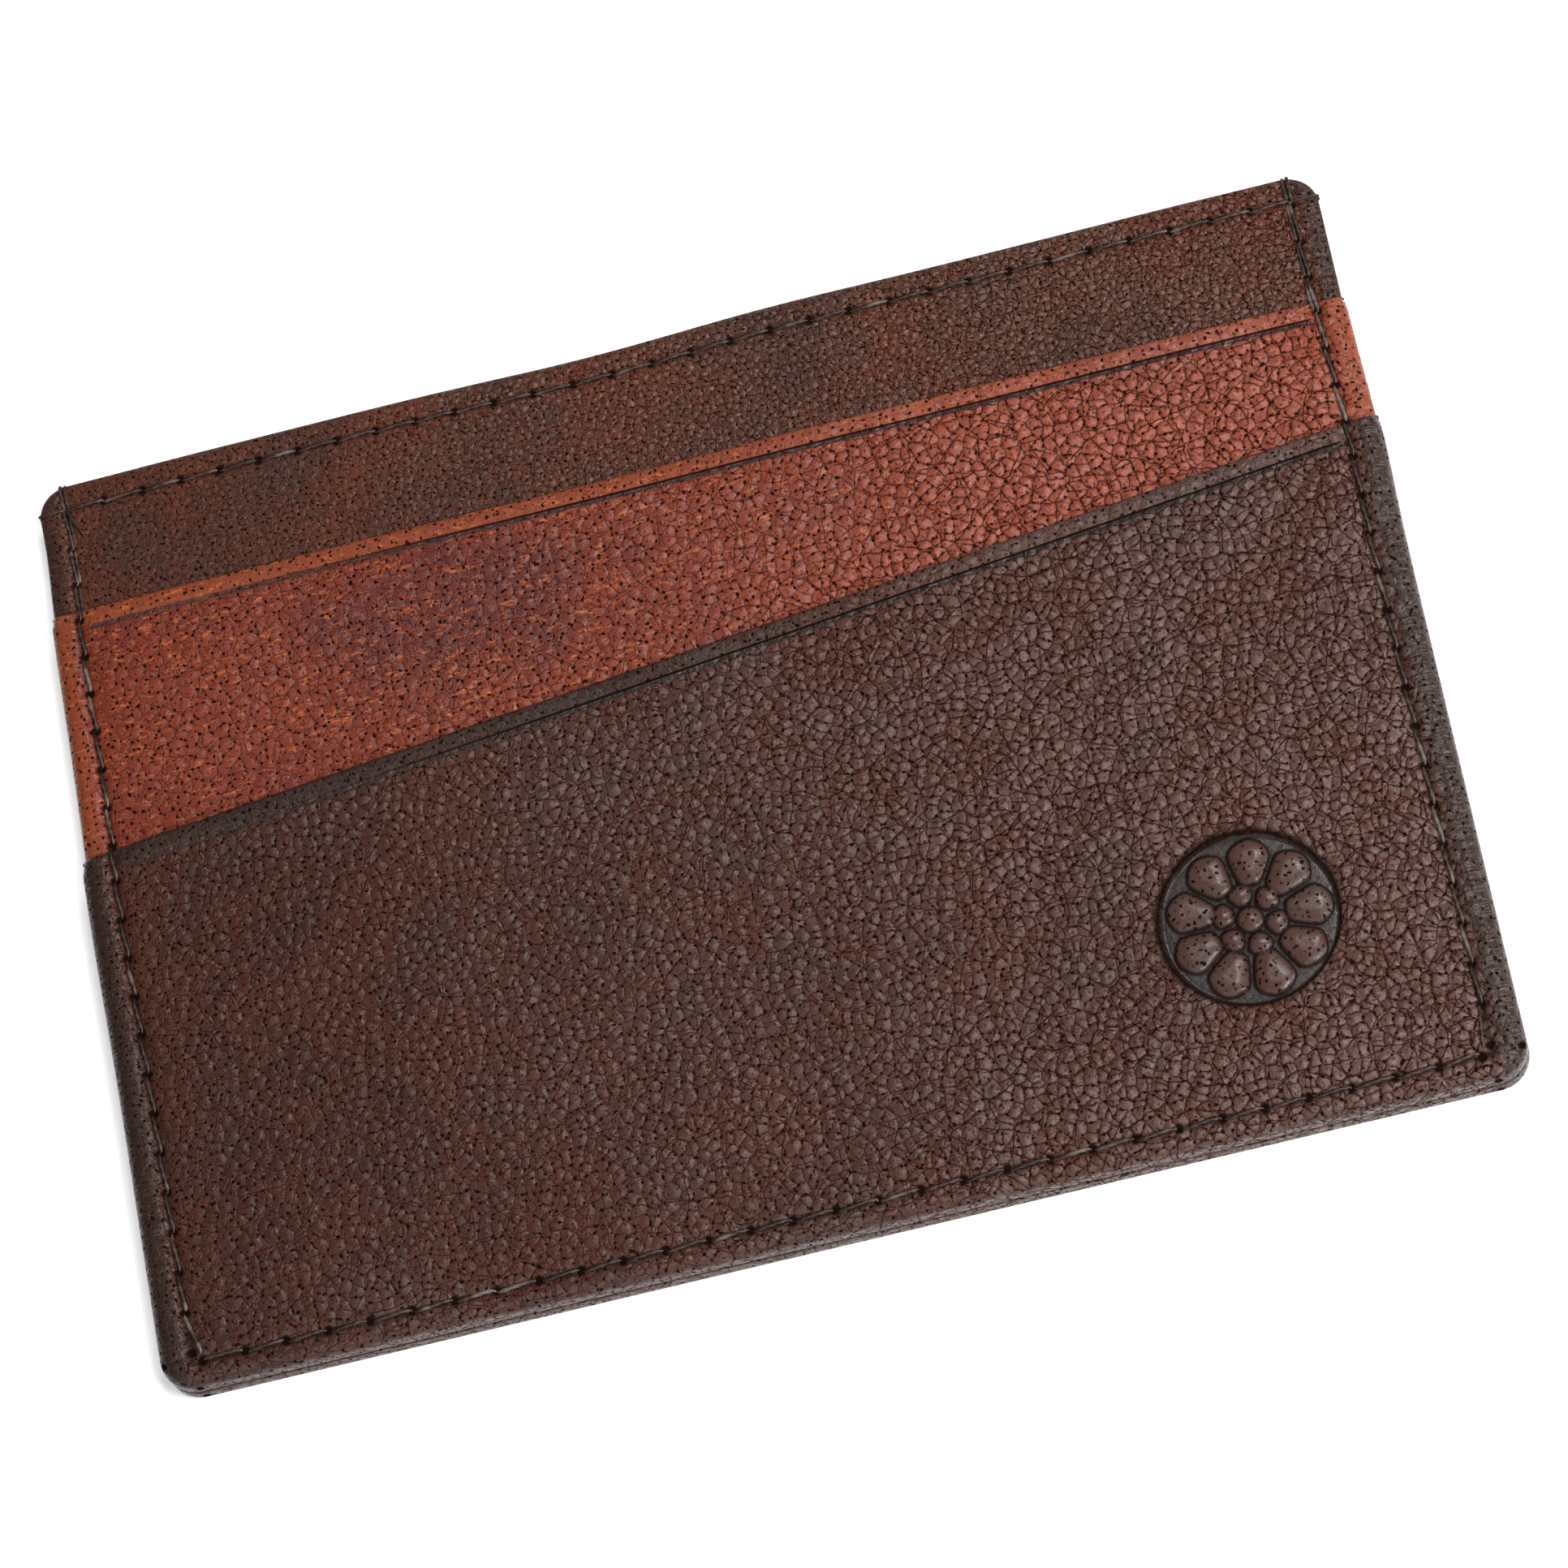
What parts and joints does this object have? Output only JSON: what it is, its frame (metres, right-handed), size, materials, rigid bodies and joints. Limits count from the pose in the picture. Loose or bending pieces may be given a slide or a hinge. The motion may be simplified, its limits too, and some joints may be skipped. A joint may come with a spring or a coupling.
{
  "type": "minimalist wallet",
  "caption": "Slim leather card holder with a tan pocket, a slanted dark brown pocket on each face and a centre pocket open at the top.",
  "frame": {"origin": "middle of the outer face of the back, which the card holder lies on, at half its width and half its height", "axes": "+X along the width, to the right with the front face seen upright; +Y towards the pocket mouths at the top edge; +Z out of the front face"},
  "size_m": [0.1, 0.0724, 0.0042],
  "materials": {
    "brown_leather": "aniline-dyed goat or sheep leather, pebbled grain with dark pores, satin",
    "tan_leather": "aniline-dyed reddish tan leather, pebbled grain with dark pores, satin",
    "lining_cloth": "dark brown plain-woven lining",
    "brown_thread": "dark brown waxed polyester sewing thread"
  },
  "bodies": {
    "root": {"front_panel": "brown_leather", "front_panel_lining": "lining_cloth", "front_tan_pocket": "tan_leather", "front_tan_pocket_lining": "lining_cloth", "front_brown_pocket": "brown_leather", "front_brown_pocket_lining": "lining_cloth", "front_hem_thread": "brown_thread", "front_hem_inner_thread": "brown_thread", "front_seam_thread": "brown_thread", "back_panel": "brown_leather", "back_panel_lining": "lining_cloth", "back_tan_pocket": "tan_leather", "back_tan_pocket_lining": "lining_cloth", "back_brown_pocket": "brown_leather", "back_brown_pocket_lining": "lining_cloth", "back_hem_thread": "brown_thread", "back_hem_inner_thread": "brown_thread", "back_seam_thread": "brown_thread"}
  },
  "joints": []
}
